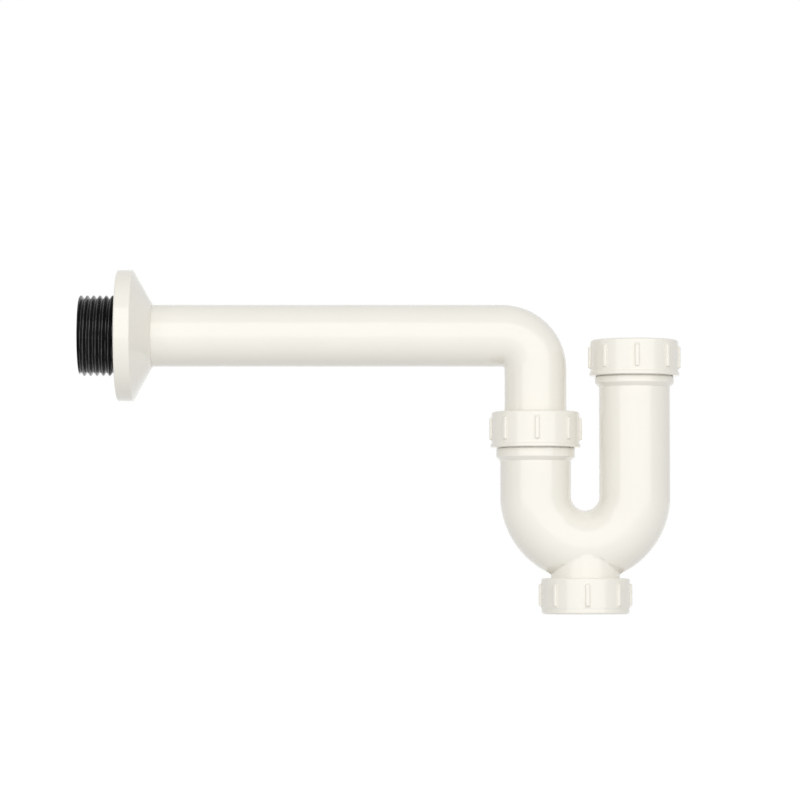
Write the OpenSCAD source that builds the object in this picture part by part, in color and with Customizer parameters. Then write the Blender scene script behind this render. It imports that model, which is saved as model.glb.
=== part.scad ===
// Wash basin trap: a U-shaped water seal with a cleaning cap, two union nuts,
// a long outlet arm, a sliding wall flange and a ribbed rubber wall sleeve.
// The origin is the middle of the inlet mouth. The arm runs along -X to the wall.

/* [Waste pipe] */
// Outside diameter of the waste pipe
pipe_d = 32; // [30:0.5:34]
// Wall of the waste pipe
pipe_wall = 1.8; // [1.2:0.1:2.6]
// Radius inside the corner of the arm's bend
corner_r = 1.3; // [1:0.1:12]
// Reach of the arm from the outlet limb's axis to its open end
arm_reach = 234; // [150:1:400]
// Height of the arm's axis above the outlet mouth
arm_rise = 45.5; // [36:0.5:90]
// Depth of the arm's leg below the outlet mouth
leg_insert = 28.8; // [16:0.2:36]
// Chamfer round the ends of the pipe
pipe_chamfer = 0.7; // [0.2:0.1:1]

/* [Trap bend] */
// Wall of the trap tube
trap_wall = 2; // [1.6:0.1:3]
// Clearance round a pipe in its socket, on the radius
socket_gap = 0.3; // [0.2:0.05:0.6]
// Distance between the axes of the two limbs
limb_spacing = 51.2; // [50:0.2:80]
// Height of the inlet mouth above the middle of the lower bend
inlet_limb_h = 74.8; // [60:0.2:120]
// Height of the outlet mouth above the middle of the lower bend
outlet_limb_h = 37.7; // [37:0.1:60]
// How much slimmer the neck under the bend is than the trap tube, on the radius
neck_inset = 0.5; // [0.1:0.1:1]
// Wall of the neck
neck_wall = 2.2; // [1.6:0.1:3]
// Depth of the cleaning rim below the underside of the bend
rim_depth = 11.8; // [10:0.1:30]

/* [Sockets] */
// Wall of a socket, from its bore to the root of its thread
socket_wall = 3.2; // [3:0.1:4]
// Clearance between a socket and its nut, on the radius
thread_gap = 0.1; // [0.05:0.01:0.3]
// How far the collar below a socket stands out of the thread's root
collar_out = 0.85; // [0.5:0.05:2]
// Height of the collar below the inlet nut, with its chamfer
inlet_collar_h = 5.4; // [4:0.1:8]
// Height of the collar below the outlet nut, with its chamfer
outlet_collar_h = 6.5; // [4:0.1:8]
// Height of the chamfer under a collar
collar_chamfer = 2.1; // [1:0.1:3]
// Gap between a nut and its collar
collar_gap = 0.4; // [0.3:0.1:1.2]
// Width of the sealing chamfer in a socket's mouth
seat_w = 1.8; // [1:0.1:2]

/* [Union nuts] */
// Wall of a nut round its thread
nut_wall = 3.05; // [2.4:0.05:5]
// Height of a nut
nut_h = 18.6; // [18:0.1:22]
// Thickness of the nut's inward lip
nut_lip = 2.8; // [2:0.1:4]
// Clearance round the pipe in the nut's hole, on the radius
nut_hole_gap = 0.5; // [0.4:0.1:1.5]
// How far the flared foot of a nut stands out of its wall
foot_out = 0.6; // [0.2:0.1:2]
// Height of the flared foot
foot_h = 1.8; // [1:0.1:2.4]
// Rounding of the outer edges of nuts and cap
edge_r = 1.2; // [0.6:0.1:1.6]
// Rounding of small inner edges
fine_r = 0.4; // [0.2:0.1:0.5]

/* [Grip ribs] */
// Number of grip ribs on each nut and on the cap
rib_count = 8; // [4:1:16]
// Width of a grip rib
rib_w = 2.3; // [1.4:0.1:4]
// Height of a grip rib above the body
rib_out = 1.3; // [0.6:0.1:2]
// Length of a grip rib
rib_len = 12.4; // [8:0.1:13]
// Distance of a nut's ribs from its open end
nut_rib_start = 3.7; // [3:0.1:4]
// Distance of the cap's ribs from its open end
cap_rib_start = 2.8; // [2:0.1:3]

/* [Cleaning cap] */
// Wall of the cap round its thread
cap_wall = 3.25; // [2.6:0.05:5]
// Height of the cap
cap_h = 18.6; // [18:0.1:22]
// Thickness of the cap's floor
cap_floor = 2.6; // [2:0.1:4]
// Height of the plain band at the cap's closed end
cap_band_h = 3.1; // [2:0.1:3.3]
// Step of that band, on the radius
cap_step = 0.2; // [0.1:0.05:0.5]

/* [Seals] */
// Thickness of the head of a conical seal
seal_head = 2.2; // [1.5:0.1:3]
// Clearance of a conical seal on the pipe and in its seat
seal_gap = 0.1; // [0.05:0.01:0.1]
// Thickness of a slip washer
washer_t = 1; // [0.6:0.1:1.5]
// Clearance of a slip washer round the pipe, on the radius
washer_gap = 0.3; // [0.2:0.05:0.6]
// Clearance of seals and washers inside a nut, on the radius
inner_gap = 0.3; // [0.2:0.05:0.6]
// Thickness of the cap's flat gasket
gasket_t = 2.5; // [1.5:0.1:3]

/* [Wall flange] */
// Diameter of the wall flange
flange_d = 68; // [60:1:90]
// Width of the flange's rim
rim_w = 8.4; // [5:0.1:14]
// Length of the flange's cone
cone_h = 9.5; // [7:0.1:20]
// Wall of the flange
flange_wall = 1.8; // [1.4:0.1:3]
// Clearance of the flange on the pipe, on the radius
flange_gap = 0.1; // [0.05:0.01:0.1]
// Length of the grip ring inside the flange
hub_len = 8; // [4:0.5:10]
// Wall of that grip ring
hub_wall = 1.6; // [1:0.1:3]
// Rounding between the flange's rim and its cone
rim_r = 1.6; // [0.6:0.1:3]
// Rounding of the rim's edge at the wall
back_r = 1; // [0.2:0.1:1.4]

/* [Wall sleeve] */
// Thickness of the sleeve under the crest of its helical rib
sleeve_wall = 4.95; // [4:0.05:8]
// Depth of the groove between the turns
groove = 1.7; // [0.8:0.1:2]
// Rise of the rib in one turn
sleeve_pitch = 3.27; // [2.4:0.01:5]
// Hand of the helical rib, 1 right or -1 left
sleeve_hand = -1; // [-1:2:1]
// Turn of the helical rib round the pipe
sleeve_turn = 97; // [0:1:359]
// Length of the ribbed part
sleeve_len = 19.5; // [12:0.1:40]
// Length of the sleeve past the pipe's end
sleeve_past = 1.9; // [1:0.1:6]
// How far the sleeve's stop collar stands out of the rib, behind the flange
stop_out = 2.55; // [1:0.05:5]
// Thickness of the stop collar
stop_t = 3; // [2:0.1:5]

/* [Hidden] */
$fn = 96;

pipe_r = pipe_d / 2;
bore_r = pipe_r + socket_gap;
trap_r = bore_r + trap_wall;
bend_r = pipe_r + corner_r;
thread_r = bore_r + socket_wall;
collar_r = thread_r + collar_out;
nut_bore_r = thread_r + thread_gap;
nut_r = nut_bore_r + nut_wall;
cap_r = nut_bore_r + cap_wall;
neck_r = trap_r - neck_inset;
neck_bore_r = neck_r - neck_wall;
limb_r = limb_spacing / 2;
// What stands on a socket's mouth inside its nut
stack_h = seal_head + washer_t + nut_lip;
// How far a nut reaches below the mouth
nut_drop = nut_h - stack_h;
mouth_drop = inlet_limb_h - outlet_limb_h;
arm_z = arm_rise - mouth_drop;
leg_x = -limb_spacing;
pipe_end_x = leg_x - arm_reach;
sleeve_end_x = pipe_end_x - sleeve_past;
sleeve_r = pipe_r + sleeve_wall;
flange_x = sleeve_end_x + sleeve_len;
rim_z = -inlet_limb_h - limb_r - trap_r - rim_depth;
cap_z = rim_z - gasket_t - cap_floor;
// Steps round the ribbed sleeve, and along one of its turns
sleeve_steps = 40;
turn_steps = 10;
// Extra length of a cutting body past the face it opens
over = 1;

ivory = "#f2f0e6";
rubber = "#1c1c1e";
seal_grey = "#5a5c5e";
washer_white = "#e4e6e6";

// Points of an arc round c, from angle a0 to a1
function arc(c, r, a0, a1, n = 6) =
    [for (i = [0 : n]) c + r * [cos(a0 + (a1 - a0) * i / n), sin(a0 + (a1 - a0) * i / n)]];

// A turned ring or shell from its section, as radius and height
module turned(section) {
    rotate_extrude() polygon(section);
}

module at_outlet() {
    translate([leg_x, 0, -mouth_drop]) children();
}

module along_arm(x) {
    translate([x, 0, arm_z]) rotate([0, 90, 0]) children();
}

// A row of grip ribs for a body of radius r. Each is rounded towards the open end at z = 0.
module grip_ribs(r, start) {
    top = start + rib_len;
    crest = r + rib_out;
    root = r - rib_out;
    for (i = [0 : rib_count - 1])
        rotate([0, 0, i * 360 / rib_count])
            intersection() {
                turned([[root, start], [r, start], [crest, start + rib_out / 2],
                        [crest, top - rib_out], [r, top], [root, top]]);
                linear_extrude(height = top + over)
                    grip_rib_section(root, crest);
                rotate([90, 0, 90])
                    linear_extrude(height = crest + over) {
                        translate([0, start + rib_w / 2]) circle(d = rib_w);
                        translate([-rib_w / 2, start + rib_w / 2]) square([rib_w, rib_len]);
                    }
            }
}

// Plan of one grip rib, along +X, with its two outer edges rounded
module grip_rib_section(root, crest) {
    r = rib_w / 3;
    polygon(concat([[root, -rib_w / 2]],
                   arc([crest - r, r - rib_w / 2], r, -90, 0, 3),
                   arc([crest - r, rib_w / 2 - r], r, 0, 90, 3),
                   [[root, rib_w / 2]]));
}

// The U-shaped moulding: two limbs, lower bend, neck, two threaded sockets and the cleaning rim
module u_bend() {
    color(ivory)
        difference() {
            union() {
                limb_outside(0, inlet_collar_h);
                at_outlet() limb_outside(mouth_drop, outlet_collar_h);
                lower_bend(trap_r);
                translate([leg_x / 2, 0, rim_z]) {
                    cylinder(r = neck_r, h = trap_r + rim_depth);
                    cylinder(r = thread_r, h = rim_cover);
                }
            }
            limb_bore(0);
            at_outlet() limb_bore(mouth_drop);
            lower_bend(bore_r);
            translate([leg_x / 2, 0, rim_z - over])
                cylinder(r = neck_bore_r, h = trap_r + rim_depth + over);
        }
}

// Height of the cleaning rim that the cap covers, less a gap at the cap's open edge
rim_cover = cap_h - cap_floor - gasket_t - collar_gap;

// A limb with its socket and collar. Its mouth is at z = 0 and lies drop below the inlet mouth.
module limb_outside(drop, collar_h) {
    top = -nut_drop - collar_gap;
    bottom = top - collar_h;
    turned([[0, drop - inlet_limb_h], [trap_r, drop - inlet_limb_h], [trap_r, bottom],
            [collar_r, bottom + collar_chamfer], [collar_r, top - fine_r], [collar_r - fine_r, top],
            [thread_r, top], [thread_r, -fine_r], [thread_r - fine_r, 0], [0, 0]]);
}

module limb_bore(drop) {
    turned([[0, drop - inlet_limb_h], [bore_r, drop - inlet_limb_h], [bore_r, -seat_w],
            [bore_r + seat_w, 0], [bore_r + seat_w, over], [0, over]]);
}

// The half turn that joins the two limbs, as a solid of tube radius r
module lower_bend(r) {
    translate([leg_x / 2, 0, -inlet_limb_h])
        rotate([90, 0, 0])
            rotate_extrude(angle = 180, start = 180)
                translate([limb_r, 0]) circle(r = r);
}

module cleaning_cap() {
    r = cap_r;
    color(ivory)
        translate([leg_x / 2, 0, cap_z + cap_h])
            mirror([0, 0, 1]) {
                turned(concat([[nut_bore_r, cap_h - cap_floor], [nut_bore_r, fine_r],
                               [nut_bore_r + fine_r, 0]],
                              arc([r - edge_r, edge_r], edge_r, -90, 0),
                              [[r, cap_h - cap_band_h], [r - cap_step, cap_h - cap_band_h]],
                              arc([r - cap_step - edge_r, cap_h - edge_r], edge_r, 0, 90),
                              [[0, cap_h], [0, cap_h - cap_floor]]));
                grip_ribs(r, cap_rib_start);
            }
}

module cap_gasket() {
    color(rubber)
        translate([leg_x / 2, 0, rim_z - gasket_t])
            turned([[neck_bore_r, 0], [nut_bore_r - inner_gap, 0],
                    [nut_bore_r - inner_gap, gasket_t], [neck_bore_r, gasket_t]]);
}

// A union nut, screwed down on a socket whose mouth is at z = 0
module union_nut() {
    r = nut_r;
    foot_r = nut_r + foot_out;
    hole_r = pipe_r + nut_hole_gap;
    color(ivory)
        translate([0, 0, -nut_drop]) {
            turned(concat([[nut_bore_r + fine_r, 0], [foot_r - fine_r, 0], [foot_r, fine_r],
                           [foot_r, foot_h]],
                          arc([foot_r, foot_h + foot_out], foot_out, 270, 180, 4),
                          arc([r - edge_r, nut_h - edge_r], edge_r, 0, 90),
                          [[hole_r + fine_r, nut_h], [hole_r, nut_h - fine_r],
                           [hole_r, nut_h - nut_lip], [nut_bore_r, nut_h - nut_lip],
                           [nut_bore_r, fine_r]]));
            grip_ribs(r, nut_rib_start);
        }
}

module slip_washer() {
    inner = pipe_r + washer_gap;
    outer = nut_bore_r - inner_gap;
    color(washer_white)
        translate([0, 0, seal_head])
            turned([[inner, 0], [outer, 0], [outer, washer_t], [inner, washer_t]]);
}

// A conical seal. Its head lies on the mouth and its nose in the sealing chamfer.
module conical_seal() {
    inner = pipe_r + seal_gap;
    nose = bore_r + seat_w - seal_gap;
    outer = nut_bore_r - inner_gap;
    color(seal_grey)
        turned([[inner, inner - nose], [nose, 0], [outer, 0],
                [outer, seal_head], [inner, seal_head]]);
}

module inlet_nut() union_nut();
module inlet_washer() slip_washer();
module inlet_seal() conical_seal();
module outlet_nut() at_outlet() union_nut();
module outlet_washer() at_outlet() slip_washer();
module outlet_seal() at_outlet() conical_seal();

// The arm: a leg in the outlet socket, a tight bend and the long run to the wall
module outlet_pipe() {
    color(ivory)
        difference() {
            arm_solid(pipe_r, 0);
            arm_solid(pipe_r - pipe_wall, over);
        }
}

// The arm as a solid of radius r, both ends made longer by extra
module arm_solid(r, extra) {
    leg_h = arm_rise + leg_insert - bend_r;
    run = arm_reach - bend_r;
    nip = extra > 0 ? 0 : pipe_chamfer;
    at_outlet() translate([0, 0, -leg_insert])
        turned([[0, -extra], [r - nip, -extra], [r, nip - extra], [r, leg_h], [0, leg_h]]);
    translate([leg_x - bend_r, 0, arm_z - bend_r])
        rotate([90, 0, 0])
            rotate_extrude(angle = 90)
                translate([bend_r, 0]) circle(r = r);
    along_arm(pipe_end_x)
        turned([[0, -extra], [r - nip, -extra], [r, nip - extra], [r, run], [0, run]]);
}

// The hollow cone that covers the hole in the wall. Its back is open.
module wall_flange() {
    r = flange_d / 2;
    tip_r = pipe_r + flange_gap;
    tip_out = tip_r + fine_r;
    length = rim_w + cone_h;
    // Angle of the cone to the pipe, for the wall measured square to it
    slope = atan2(r - tip_out, cone_h);
    inner_tip = length - flange_wall / sin(slope);
    inner_r = r - flange_wall;
    inner_rim = rim_w - flange_wall * tan(slope / 2);
    hub_r = tip_r + hub_wall;
    hub_top = rim_w + (inner_r - hub_r) * cone_h / (r - tip_out) - flange_wall * tan(slope / 2);
    color(ivory)
        along_arm(flange_x)
            turned(concat([[inner_r, 0], [inner_r, inner_rim], [hub_r, hub_top],
                           [hub_r, length - hub_len], [tip_r, length - hub_len],
                           [tip_r, length], [tip_out, length]],
                          arc([r - rim_r, rim_w - rim_r * tan(slope / 2)], rim_r, 90 - slope, 0),
                          arc([r - back_r, back_r], back_r, 0, -90, 4)));
}

// Radius of the ribbed sleeve at angle a and distance z from its wall end
function sleeve_at(a, z) =
    sleeve_r - groove * (1 - cos(360 * z / sleeve_pitch + sleeve_turn - sleeve_hand * a)) / 2;

// The black rubber sleeve: one helical rib round a tube, and a stop collar behind the flange
module wall_sleeve() {
    rows = ceil(sleeve_len / sleeve_pitch * turn_steps);
    last = sleeve_steps - 1;
    points = [for (k = [0 : rows], i = [0 : last])
        let (a = 360 * i / sleeve_steps, z = sleeve_len * k / rows, r = sleeve_at(a, z))
            [r * cos(a), r * sin(a), z]];
    sides = [for (k = [0 : rows - 1], i = [0 : last])
        let (a = k * sleeve_steps + i, b = k * sleeve_steps + (i + 1) % sleeve_steps)
            each [[a, a + sleeve_steps, b], [b, a + sleeve_steps, b + sleeve_steps]]];
    ends = [[for (i = [0 : last]) i], [for (i = [0 : last]) rows * sleeve_steps + last - i]];
    color(rubber)
        along_arm(sleeve_end_x)
            difference() {
                union() {
                    polyhedron(points, concat(sides, ends));
                    translate([0, 0, sleeve_len]) cylinder(r = sleeve_r + stop_out, h = stop_t);
                }
                translate([0, 0, -over]) cylinder(r = pipe_r, h = sleeve_len + stop_t + 2 * over);
            }
}

u_bend();
cleaning_cap();
cap_gasket();
inlet_nut();
inlet_washer();
inlet_seal();
outlet_nut();
outlet_washer();
outlet_seal();
outlet_pipe();
wall_flange();
wall_sleeve();
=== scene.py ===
import math
import bpy
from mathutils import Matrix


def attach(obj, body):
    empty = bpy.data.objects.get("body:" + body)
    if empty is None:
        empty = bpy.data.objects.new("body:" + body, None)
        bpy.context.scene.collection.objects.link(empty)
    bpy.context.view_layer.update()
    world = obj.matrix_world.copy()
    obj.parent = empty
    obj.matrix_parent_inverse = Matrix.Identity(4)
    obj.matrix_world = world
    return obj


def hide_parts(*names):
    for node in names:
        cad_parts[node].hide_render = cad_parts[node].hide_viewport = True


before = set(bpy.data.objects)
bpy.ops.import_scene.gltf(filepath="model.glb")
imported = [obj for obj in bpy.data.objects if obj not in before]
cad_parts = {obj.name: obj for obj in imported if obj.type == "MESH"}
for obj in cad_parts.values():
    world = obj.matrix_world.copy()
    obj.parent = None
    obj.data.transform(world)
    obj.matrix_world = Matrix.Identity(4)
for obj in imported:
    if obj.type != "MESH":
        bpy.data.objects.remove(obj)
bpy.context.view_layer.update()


# ---- The trap bend ----
# One polypropylene moulding: two limbs, the half turn between them, a neck and a threaded
# cleaning rim. It is moulded round sliding cores, and all the other pieces screw on to it.

MM = 0.001
BORE, TUBE = 16.3, 18.3
THREAD, COLLAR = 19.5, 20.35
LIMB_APART, HALF_APART = -51.2, -25.6
TURN_Z = -74.8
OUTLET_Z = -37.1
NECK, NECK_BORE, RIM_Z = 17.8, 15.6, -130.5
PITCH = 2.309


def turned(name, x, rings, segments=96):
    """Starts a circle on an upright axis at x and leaves its rings in edit mode."""
    bpy.ops.object.select_all(action="DESELECT")
    radius, height = rings[0]
    bpy.ops.mesh.primitive_circle_add(vertices=segments, radius=radius * MM,
                                      location=(x * MM, 0, height * MM))
    piece = bpy.context.object
    piece.name = piece.data.name = name
    bpy.ops.object.transform_apply(location=True, rotation=False, scale=False)
    bpy.ops.object.mode_set(mode="EDIT")
    bpy.ops.mesh.select_all(action="SELECT")
    draw_out(x, rings)
    return piece


def draw_out(x, rings):
    """Extrudes the selected ring along its axis through the given radii and heights."""
    radius, height = rings[0]
    for wide, high in rings[1:]:
        bpy.ops.mesh.extrude_edges_move(
            TRANSFORM_OT_translate={"value": (0, 0, (high - height) * MM)})
        bpy.ops.transform.resize(value=(wide / radius, wide / radius, 1),
                                 center_override=(x * MM, 0, high * MM))
        radius, height = wide, high


def close_up():
    """Joins the seam, fills open ends, turns the faces outwards and leaves edit mode."""
    bpy.ops.mesh.select_all(action="SELECT")
    bpy.ops.mesh.remove_doubles(threshold=0.001 * MM)
    bpy.ops.mesh.select_mode(type="EDGE")
    bpy.ops.mesh.select_non_manifold()
    if bpy.context.object.data.total_edge_sel:
        bpy.ops.mesh.edge_face_add()
    bpy.ops.mesh.select_all(action="SELECT")
    bpy.ops.mesh.normals_make_consistent(inside=False)
    bpy.ops.object.mode_set(mode="OBJECT")


def cut_or_join(piece, tool, operation):
    bpy.ops.object.select_all(action="DESELECT")
    bpy.context.view_layer.objects.active = piece
    piece.select_set(True)
    step = piece.modifiers.new(operation, "BOOLEAN")
    step.operation = operation
    step.object = tool
    step.solver = "EXACT"
    bpy.ops.object.modifier_apply(modifier=step.name)
    bpy.data.objects.remove(tool)


def bend_form(name, inlet_rings, outlet_rings):
    """A limb drawn down, spun through the half turn and drawn up to the other mouth."""
    form = turned(name, 0, inlet_rings)
    bpy.ops.mesh.spin(steps=60, angle=math.pi, axis=(0, -1, 0),
                      center=(HALF_APART * MM, 0, TURN_Z * MM))
    draw_out(LIMB_APART, outlet_rings)
    close_up()
    return form


def arc(x, y, radius, start, stop, steps=4):
    turns = [math.radians(start + (stop - start) * i / steps) for i in range(steps + 1)]
    return [(x + radius * math.cos(t), y + radius * math.sin(t)) for t in turns]


def socket(mouth, collar_top, collar_foot, chamfer=2.1):
    """Radii and heights down a threaded socket and its collar."""
    return (arc(THREAD - 0.4, mouth - 0.4, 0.4, 90, 0)
            + [(THREAD, collar_top)]
            + arc(COLLAR - 0.4, collar_top - 0.4, 0.4, 90, 0)
            + arc(COLLAR - 0.5, collar_foot + chamfer + 0.2, 0.5, 0, -45, 3)
            + [(TUBE, collar_foot)])


def helix(name, x, start, stop, section, pitch, steps=72):
    """A ridge of the given section, wound on an upright axis at x from start to stop."""
    bpy.ops.object.select_all(action="DESELECT")
    bpy.ops.mesh.primitive_circle_add(vertices=len(section), radius=MM)
    ridge = bpy.context.object
    ridge.name = ridge.data.name = name
    for point, (radius, height) in zip(ridge.data.vertices, section):
        point.co = (radius * MM, 0, (start + height) * MM)
    turns = (stop - start) / abs(pitch)
    wind = ridge.modifiers.new("wind", "SCREW")
    wind.angle = math.tau * turns * (1 if pitch > 0 else -1)
    wind.screw_offset = (stop - start) * MM
    wind.steps = wind.render_steps = round(steps * turns)
    wind.use_merge_vertices = False
    bpy.ops.object.modifier_apply(modifier=wind.name)
    ridge.location.x = x * MM
    bpy.ops.object.transform_apply(location=True)
    bpy.ops.object.mode_set(mode="EDIT")
    close_up()
    return ridge


def pipe_thread(name, x, low, high, root, crest, half_crest):
    """A ridge of the 55 degree pipe thread, sunk a little below its root."""
    flank = (crest - root) * math.tan(math.radians(27.5))
    base = half_crest + flank
    section = [(root - 0.3, -base), (root, -base), (crest - 0.1, -half_crest - 0.05),
               (crest, -half_crest + 0.1), (crest, half_crest - 0.1),
               (crest - 0.1, half_crest + 0.05), (root, base), (root - 0.3, base)]
    return helix(name, x, low, high, section, PITCH)


bend = bend_form("trap_bend_moulding", socket(0, -13.0, -18.4) + [(TUBE, TURN_Z)],
                 [(TUBE, TURN_Z)] + socket(OUTLET_Z, OUTLET_Z - 13.0, -56.6)[::-1])
neck = turned("neck", HALF_APART,
              [(NECK, -98), (NECK, RIM_Z + 13.1), (THREAD, RIM_Z + 13.1)]
              + arc(THREAD - 0.4, RIM_Z + 0.4, 0.4, 0, -90))
close_up()
cut_or_join(bend, neck, "UNION")


# The core's edge is blunt, so a small fillet runs round the neck where it leaves the bend.
def on_crease(point):
    x, y, z = point / MM
    from_neck = math.hypot(x - HALF_APART, y) - NECK
    from_turn = math.hypot(x - HALF_APART, z - TURN_Z) + HALF_APART
    return abs(from_neck) < 0.04 and abs(math.hypot(from_turn, y) - TUBE) < 0.04 and z < -100


bpy.ops.object.mode_set(mode="EDIT")
bpy.ops.mesh.select_mode(type="EDGE")
bpy.ops.mesh.select_all(action="DESELECT")
bpy.ops.object.mode_set(mode="OBJECT")
for edge in bend.data.edges:
    edge.select = all(on_crease(bend.data.vertices[i].co) for i in edge.vertices)
bpy.ops.object.mode_set(mode="EDIT")
bpy.ops.mesh.remove_doubles(threshold=0.2 * MM)
bpy.ops.mesh.bevel(offset=0.9 * MM, offset_type="OFFSET", segments=4, affect="EDGES")
bpy.ops.object.mode_set(mode="OBJECT")

hollow = bend_form("hollow", [(BORE + 2.8, 1), (BORE + 1.8, 0), (BORE, -1.8), (BORE, TURN_Z)],
                   [(BORE, TURN_Z), (BORE, OUTLET_Z - 1.8), (BORE + 1.8, OUTLET_Z),
                    (BORE + 2.8, OUTLET_Z + 1)])
cut_or_join(bend, hollow, "DIFFERENCE")
neck_bore = turned("neck_bore", HALF_APART, [(NECK_BORE, TURN_Z + HALF_APART),
                                             (NECK_BORE, RIM_Z - 1)])
close_up()
cut_or_join(bend, neck_bore, "DIFFERENCE")
for x, low, high in ((0, -12.0, -1.4), (LIMB_APART, OUTLET_Z - 12.0, OUTLET_Z - 1.4),
                     (HALF_APART, RIM_Z + 1.4, RIM_Z + 12.0)):
    cut_or_join(bend, pipe_thread("thread", x, low, high, THREAD, 20.9, 0.25), "UNION")
bpy.ops.object.shade_smooth_by_angle(angle=math.radians(33))


def moulded_surface():
    """Cloudy colour, uneven gloss and the faint orange peel of a moulding."""
    group = bpy.data.node_groups.new("moulded surface", "ShaderNodeTree")
    sockets = group.interface
    for name, kind, value in (("Deep", "NodeSocketColor", (0.8, 0.78, 0.72, 1)),
                              ("Pale", "NodeSocketColor", (0.9, 0.88, 0.82, 1)),
                              ("Cloud Size", "NodeSocketFloat", 60.0),
                              ("Smoothness", "NodeSocketFloat", 0.2),
                              ("Roughness Change", "NodeSocketFloat", 0.06)):
        sockets.new_socket(name, in_out="INPUT", socket_type=kind).default_value = value
    for name, kind in (("Color", "NodeSocketColor"), ("Roughness", "NodeSocketFloat"),
                       ("Peel", "NodeSocketFloat")):
        sockets.new_socket(name, in_out="OUTPUT", socket_type=kind)
    nodes, links = group.nodes, group.links
    given = nodes.new("NodeGroupInput")
    out = nodes.new("NodeGroupOutput")
    place = nodes.new("ShaderNodeTexCoord")

    cloud = nodes.new("ShaderNodeTexNoise")
    cloud.inputs["Detail"].default_value = 4
    links.new(place.outputs["Object"], cloud.inputs["Vector"])
    links.new(given.outputs["Cloud Size"], cloud.inputs["Scale"])
    tint = nodes.new("ShaderNodeMix")
    tint.data_type = "RGBA"
    links.new(cloud.outputs["Fac"], tint.inputs["Factor"])
    links.new(given.outputs["Deep"], tint.inputs[6])
    links.new(given.outputs["Pale"], tint.inputs[7])
    links.new(tint.outputs[2], out.inputs["Color"])

    gloss = nodes.new("ShaderNodeTexNoise")
    gloss.inputs["Scale"].default_value = 160
    gloss.inputs["Detail"].default_value = 3
    links.new(place.outputs["Object"], gloss.inputs["Vector"])
    change = nodes.new("ShaderNodeMath")
    change.operation = "MULTIPLY_ADD"
    links.new(gloss.outputs["Fac"], change.inputs[0])
    links.new(given.outputs["Roughness Change"], change.inputs[1])
    links.new(given.outputs["Smoothness"], change.inputs[2])
    links.new(change.outputs["Value"], out.inputs["Roughness"])

    peel = nodes.new("ShaderNodeTexNoise")
    peel.inputs["Scale"].default_value = 500
    peel.inputs["Detail"].default_value = 1
    links.new(place.outputs["Object"], peel.inputs["Vector"])
    links.new(peel.outputs["Fac"], out.inputs["Peel"])
    return group


SURFACE = moulded_surface()


def moulded_material(name, deep, pale, cloud_size, smoothness, change, peel_depth):
    material = bpy.data.materials.new(name)
    material.use_nodes = True
    nodes, links = material.node_tree.nodes, material.node_tree.links
    shader = nodes["Principled BSDF"]
    surface = nodes.new("ShaderNodeGroup")
    surface.node_tree = SURFACE
    surface.inputs["Deep"].default_value = (*deep, 1)
    surface.inputs["Pale"].default_value = (*pale, 1)
    surface.inputs["Cloud Size"].default_value = cloud_size
    surface.inputs["Smoothness"].default_value = smoothness
    surface.inputs["Roughness Change"].default_value = change
    bump = nodes.new("ShaderNodeBump")
    bump.inputs["Distance"].default_value = peel_depth
    links.new(surface.outputs["Peel"], bump.inputs["Height"])
    links.new(surface.outputs["Color"], shader.inputs["Base Color"])
    links.new(surface.outputs["Roughness"], shader.inputs["Roughness"])
    links.new(bump.outputs["Normal"], shader.inputs["Normal"])
    return material


IVORY = moulded_material("ivory polypropylene", (0.842, 0.812, 0.735), (0.868, 0.842, 0.772),
                         45, 0.12, 0.04, 0.000003)
IVORY.node_tree.nodes["Principled BSDF"].inputs["IOR"].default_value = 1.6
bend.data.materials.append(IVORY)
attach(bend, "trap_body")
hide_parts("u_bend")


# ---- Seals, slip washers and the cap's gasket ----
# Soft grey rubber cones, slippery white washers that keep a nut from twisting them, and a
# black flat ring. They are moulded or punched, and lie loose under the nuts and in the cap.

def dress(node, material):
    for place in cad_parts[node].material_slots:
        place.material = material


SEAL_RUBBER = moulded_material("grey sealing rubber", (0.045, 0.047, 0.05), (0.07, 0.072, 0.075),
                               120, 0.5, 0.2, 0.00001)
WASHER_PLASTIC = moulded_material("white slip plastic", (0.74, 0.75, 0.75), (0.8, 0.81, 0.81),
                                  120, 0.3, 0.1, 0.000004)
BLACK_RUBBER = moulded_material("black rubber", (0.004, 0.004, 0.0045), (0.008, 0.008, 0.009),
                                90, 0.13, 0.12, 0.000006)
dress("inlet_seal", SEAL_RUBBER)
dress("outlet_seal", SEAL_RUBBER)
dress("inlet_washer", WASHER_PLASTIC)
dress("outlet_washer", WASHER_PLASTIC)
dress("cap_gasket", BLACK_RUBBER)


# ---- Union nuts ----
# Ivory mouldings with eight grip ribs, a flared foot and an inward lip that presses on the
# washer. They are unscrewed from a threaded core, and screwed by hand on the sockets.

dress("inlet_nut", IVORY)
dress("outlet_nut", IVORY)


# ---- Cleaning cap ----
# A closed ivory cap with the same eight ribs and a plain band round its floor. It screws up
# on the rim under the bend and comes off by hand to let the dirt out.

dress("cleaning_cap", IVORY)


# ---- The outlet arm ----
# A thin-walled ivory pipe with one tight bend, moulded with its leg, and cut square at the
# wall. It slides up and down in the outlet socket and is gripped by that socket's seal.

dress("outlet_pipe", IVORY)


# ---- The wall flange ----
# A hollow ivory cone that covers the hole in the wall. Its inner ring slides on the pipe.

dress("wall_flange", IVORY)


# ---- The wall sleeve ----
# A black rubber tube with one left-hand helical rib, pushed on the pipe's end. Its rib seals
# in the drain pipe in the wall, and its collar stops it behind the flange.

dress("wall_sleeve", BLACK_RUBBER)


# ---- Floor, light and camera ----
# The trap hangs in the air as it does under a basin, well over a plain white floor, with a
# large soft box in front of it and white all round.

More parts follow.
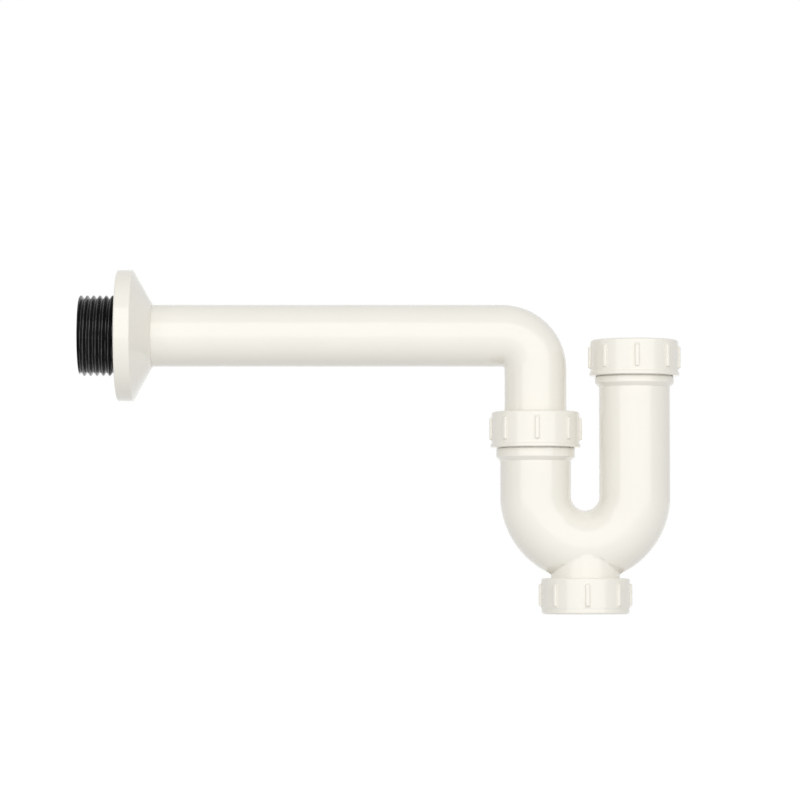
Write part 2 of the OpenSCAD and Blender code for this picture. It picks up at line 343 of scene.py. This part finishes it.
def white_when_seen(tree, unseen, seen):
    """A strength for what the camera, a gloss or a glass sees, and another for the light."""
    nodes, links = tree.nodes, tree.links
    ray = nodes.new("ShaderNodeLightPath")
    first = nodes.new("ShaderNodeMath")
    first.operation = "MAXIMUM"
    links.new(ray.outputs["Is Camera Ray"], first.inputs[0])
    links.new(ray.outputs["Is Glossy Ray"], first.inputs[1])
    either = nodes.new("ShaderNodeMath")
    either.operation = "MAXIMUM"
    links.new(first.outputs["Value"], either.inputs[0])
    links.new(ray.outputs["Is Transmission Ray"], either.inputs[1])
    level = nodes.new("ShaderNodeMapRange")
    level.inputs["To Min"].default_value = unseen
    level.inputs["To Max"].default_value = seen
    links.new(either.outputs["Value"], level.inputs["Value"])
    return level.outputs["Result"]


bpy.ops.object.select_all(action="DESELECT")
bpy.ops.mesh.primitive_plane_add(size=40, location=(0, 0, -0.5))
floor = bpy.context.object
floor.name = "studio_floor"
FLOOR = bpy.data.materials.new("white studio floor")
FLOOR.use_nodes = True
floor.data.materials.append(FLOOR)
paint = FLOOR.node_tree.nodes["Principled BSDF"]
paint.inputs["Base Color"].default_value = (0.8, 0.8, 0.8, 1)
paint.inputs["Roughness"].default_value = 0.9
paint.inputs["Specular IOR Level"].default_value = 0
paint.inputs["Emission Color"].default_value = (1, 1, 1, 1)
FLOOR.node_tree.links.new(white_when_seen(FLOOR.node_tree, 0, 0.8),
                          paint.inputs["Emission Strength"])

world = bpy.data.worlds.new("white studio")
bpy.context.scene.world = world
world.use_nodes = True
sky = world.node_tree.nodes["Background"]
sky.inputs["Color"].default_value = (1, 1, 1, 1)
world.node_tree.links.new(white_when_seen(world.node_tree, 0.5, 1), sky.inputs["Strength"])


def soft_box(name, place, aim, width, height, radiance):
    lamp = bpy.data.lights.new(name, "AREA")
    lamp.shape = "RECTANGLE"
    lamp.size, lamp.size_y = width, height
    lamp.energy = radiance * math.pi * width * height
    box = bpy.data.objects.new(name, lamp)
    bpy.context.scene.collection.objects.link(box)
    box.location = place
    way = [a - p for a, p in zip(aim, place)]
    box.rotation_euler = (math.atan2(math.hypot(way[0], way[1]), -way[2]), 0,
                          math.atan2(-way[0], way[1]))
    box.visible_camera = False
    return box


soft_box("front box", (-0.12, -2.2, 0.75), (-0.12, 0, 0.0), 6, 2.4, 1.27)

camera = bpy.data.objects.new("photo camera", bpy.data.cameras.new("photo camera"))
bpy.context.scene.collection.objects.link(camera)
camera.data.lens = 162.6
camera.data.sensor_width = 36
camera.location = (-0.1213, -1.867, -0.127)
camera.rotation_euler = (math.radians(90 + 3.13), 0, 0)
bpy.context.scene.camera = camera
bpy.context.scene.view_settings.view_transform = "Standard"
